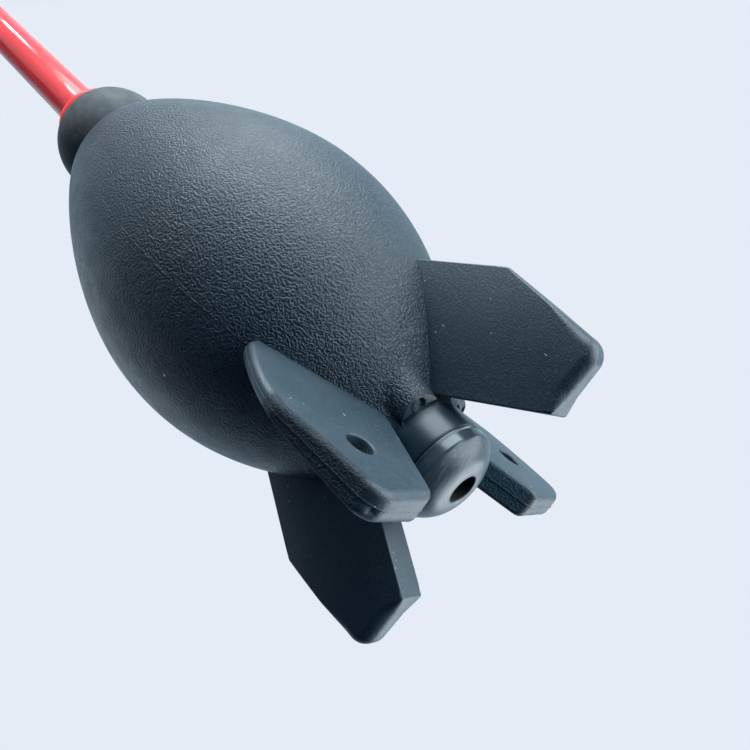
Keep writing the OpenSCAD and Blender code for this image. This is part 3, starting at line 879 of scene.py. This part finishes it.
# %% Cap plastic
CAP_DARK, CAP_PALE = (0.020, 0.034, 0.045, 1), (0.024, 0.040, 0.053, 1)
SCRATCH, INLET_PAINTED_SHADE = (0.055, 0.073, 0.088, 1), (0.001, 0.001, 0.001, 1)
cap_plastic = Finish("cap_plastic_gloss", Roughness=0.35, Specular_IOR_Level=0.6,
                     Specular_Tint=COOL_GLINT)
mark = cap_plastic.grain_and_painted_shade_mark()
swirl = cap_plastic.noise(420, detail=3, distortion=0.6)
on_dome = cap_plastic.between(cap_plastic.coordinate("Z"), 0.0079, 0.0074)
rubbed = cap_plastic.noise(2300, detail=3, rough=0.6, at=cap_plastic.stretched((1, 0.07, 1)))
scratches = cap_plastic.times(cap_plastic.between(rubbed, 0.50, 0.68), on_dome)
base = cap_plastic.blend(cap_plastic.between(swirl, *NOISE_RANGE), CAP_DARK, CAP_PALE)
base = cap_plastic.blend(scratches, base, SCRATCH)
# painted shade: the inside of the inlet is painted near-black
base = cap_plastic.blend(mark, base, INLET_PAINTED_SHADE)
gloss = cap_plastic.between(cap_plastic.noise(700, detail=3), *NOISE_RANGE, 0.17, 0.23)
gloss = cap_plastic.math("ADD", gloss, cap_plastic.times(mark, 0.5))
gloss = cap_plastic.math("ADD", gloss, cap_plastic.times(on_dome, 0.16))
cap_plastic.connect(Base_Color=base, Roughness=gloss, Normal=cap_plastic.bump(swirl, 0.003))
cap_plastic.wear(cap_skin)

# %% [markdown]
# ### The nozzle and the valve
#
# The nozzle is a bright red plastic that lets light in a little way, which subsurface
# scattering gives, with faint flow lines along its length. The valve parts inside stay
# as the CAD made them and get a plain moulded finish, milky white for the plastic and
# grey for the rubber disc.

# %% Nozzle and valve finishes
red_plastic = Finish("nozzle_red_gloss", Roughness=0.15, Specular_IOR_Level=0.13,
                     Subsurface_Weight=1.0, Subsurface_Radius=(1.0, 0.25, 0.2),
                     Subsurface_Scale=12 * MM)
flow = red_plastic.noise(900, detail=3, at=red_plastic.stretched((1, 1, 0.06)))
base = red_plastic.blend(red_plastic.between(flow, *NOISE_RANGE),
                         (0.66, 0.058, 0.068, 1), (0.70, 0.070, 0.080, 1))
gloss = red_plastic.between(red_plastic.noise(500, detail=2), *NOISE_RANGE, 0.06, 0.09)
red_plastic.connect(Base_Color=base, Roughness=gloss, Normal=red_plastic.bump(flow, 0.004))
red_plastic.wear(nozzle_skin)

for name, roughness, scale, dark, pale, nodes in (
        ("valve_plastic_milky", 0.45, 500, (0.52, 0.53, 0.55, 1), (0.60, 0.61, 0.62, 1),
         ("valve_seat", "valve_cage")),
        ("disc_rubber_matte", 0.7, 900, (0.085, 0.09, 0.095, 1), (0.11, 0.115, 0.12, 1),
         ("valve_disc",))):
    inner = Finish(name, Roughness=roughness)
    haze = inner.noise(scale, detail=3)
    base = inner.blend(inner.between(haze, *NOISE_RANGE), dark, pale)
    inner.connect(Base_Color=base, Normal=inner.bump(haze, 0.02))
    for node in nodes:
        inner.wear(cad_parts[node])

# %% [markdown]
# ## The floor
#
# The blower stands on its fins on a plain pale floor. The best view of it looks up at
# the tail, so that camera is lower than the floor: the floor is see-through from
# beneath, and it neither blocks nor reflects light. Most of its paleness is a glow that
# only the camera sees, because a floor lit by the lamps alone would be too bright near
# the blower and grey further out. The rest is lit, so it still shows the shadow.

# %% Floor
PALE = (0.783, 0.839, 0.922, 1)
FLOOR_HALF, FLOOR_Z, FLOOR_GLOW = 3.0, -0.2 * MM, 0.7
floor_corners = [(x * FLOOR_HALF, y * FLOOR_HALF, FLOOR_Z)
                 for x, y in ((-1, -1), (1, -1), (1, 1), (-1, 1))]
floor_mesh = bpy.data.meshes.new("floor")
floor_mesh.from_pydata(floor_corners, [], [(0, 1, 2, 3)])
floor = bpy.data.objects.new("floor", floor_mesh)
bpy.context.scene.collection.objects.link(floor)
floor_finish = Finish("floor_pale", Roughness=0.9, Base_Color=(0.17, 0.18, 0.20, 1),
                      Emission_Color=PALE)
rays = floor_finish.node("ShaderNodeLightPath").outputs
floor_finish.connect(Emission_Strength=floor_finish.times(rays["Is Camera Ray"], FLOOR_GLOW))
beneath = floor_finish.node("ShaderNodeNewGeometry").outputs["Backfacing"]
see_through = floor_finish.math("MAXIMUM", beneath, rays["Is Shadow Ray"])
shared = floor_finish.node("ShaderNodeMixShader", {
    0: see_through, 1: floor_finish.shader.outputs[0],
    2: floor_finish.node("ShaderNodeBsdfTransparent").outputs[0]})
feed(floor_finish.tree, floor_finish.tree.nodes["Material Output"], {0: shared.outputs[0]})
floor_finish.wear(floor)
floor.visible_glossy = floor.visible_diffuse = floor.visible_transmission = False

# %% [markdown]
# ## The camera
#
# It is given by its place and by three directions: what is right, up and backwards in
# the view. The lens and a small shift frame the tail, and the nozzle runs out of view.

# %% Camera
VIEW_RIGHT = Vector((-0.5083, 0.5760, -0.6402))
VIEW_UP = Vector((0.1069, 0.7798, 0.6168))
VIEW_BACK = Vector((0.8545, 0.2451, -0.4579))
CAMERA_AT = Vector((128.55, 41.89, -43.20)) * MM
camera_data = bpy.data.cameras.new("camera")
camera_data.lens = 43.58
camera_data.shift_x, camera_data.shift_y = -0.0271, 0.0091
camera_data.clip_start = 0.01
camera = bpy.data.objects.new("camera", camera_data)
turned = Matrix((VIEW_RIGHT, VIEW_UP, VIEW_BACK)).transposed().to_4x4()
camera.matrix_world = Matrix.Translation(CAMERA_AT) @ turned
bpy.context.scene.collection.objects.link(camera)
bpy.context.scene.camera = camera
print("camera at", tuple(round(x, 4) for x in camera.location))

# %% [markdown]
# ## The lamps
#
# The main light is a big soft panel beside the blower and another above it, which give
# the bulb its two broad soft highlights. Three weak panels, low down, behind and on the
# left, keep the far edges from going black. Two lamps as small as a coin put the long
# sparkles on the glossy nozzle and are too weak to show elsewhere. Each lamp is placed
# like the hand of a clock round the view, and then tilted towards the camera or away.

# %% Lamps
AIM = Vector((0, 0, 0.06))
COOL = (0.94, 0.98, 1.0)
LAMPS = (("side_panel", 12, 14, 0.8, 1.0, 16.5), ("low_panel", -45, -14, 0.7, 0.5, 4.2),
         ("upper_panel", 85, 4, 0.7, 0.7, 12), ("near_spark", 114, -0.5, 0.81, 0.02, 0.95),
         ("far_spark", 111.5, -10, 0.84, 0.02, 0.75), ("back_panel", -165, -35, 0.7, 0.5, 0.3),
         ("left_panel", 140, 12, 0.7, 0.5, 1.0))


def soft_panel(name, clock, tilt, distance, side, watts):
    """A square area lamp that looks at the blower. Its direction goes clock degrees
    round the view, counted from the right, and tilt degrees from there to the camera."""
    data = bpy.data.lights.new(name, "AREA")
    data.shape, data.size = "SQUARE", side
    data.energy, data.color = watts, COOL
    lamp = bpy.data.objects.new(name, data)
    c, t = radians(clock), radians(tilt)
    away = cos(t) * (cos(c) * VIEW_RIGHT + sin(c) * VIEW_UP) + sin(t) * VIEW_BACK
    lamp.location = AIM + away * distance
    lamp.rotation_euler = away.to_track_quat("Z", "Y").to_euler()
    bpy.context.scene.collection.objects.link(lamp)
    print(name, "at", tuple(round(x, 2) for x in lamp.location))


for lamp in LAMPS:
    soft_panel(*lamp)

# %% [markdown]
# ## The surround
#
# The world is a pale sweep behind the blower that fades to a dark room on the camera's
# side, which is what keeps the rubber black where it faces the camera. The background
# that the camera sees directly is one plain pale colour.

# %% Surround
NAVY_ROOM, COOL_SWEEP = (0.003, 0.028, 0.075, 1), (0.60, 0.80, 0.94, 1)
FADE_FROM, FADE_TO = -0.7, -0.08
world = bpy.data.worlds.new("surround")
bpy.context.scene.world = world
world.use_nodes = True
world_tree = world.node_tree
direction = world_tree.nodes.new("ShaderNodeTexCoord").outputs["Generated"]
facing = world_tree.nodes.new("ShaderNodeVectorMath")
facing.operation = "DOT_PRODUCT"
feed(world_tree, facing, {0: direction, 1: VIEW_BACK})
fade = world_tree.nodes.new("ShaderNodeMapRange")
fade.interpolation_type = "SMOOTHSTEP"
feed(world_tree, fade, {"Value": facing.outputs["Value"], "From Min": FADE_FROM,
                        "From Max": FADE_TO, "To Min": 0.0, "To Max": 1.0})
seen = world_tree.nodes.new("ShaderNodeLightPath").outputs["Is Camera Ray"]
room, sweep = (world_tree.nodes.new("ShaderNodeMix") for _ in range(2))
room.data_type = sweep.data_type = "RGBA"
feed(world_tree, room, {0: fade.outputs[0], 6: COOL_SWEEP, 7: NAVY_ROOM})
feed(world_tree, sweep, {0: seen, 6: room.outputs[2], 7: PALE})
feed(world_tree, world_tree.nodes["Background"], {"Color": sweep.outputs[2]})
bpy.context.scene.view_settings.view_transform = "Standard"
print("surround:", len(world_tree.nodes), "nodes")
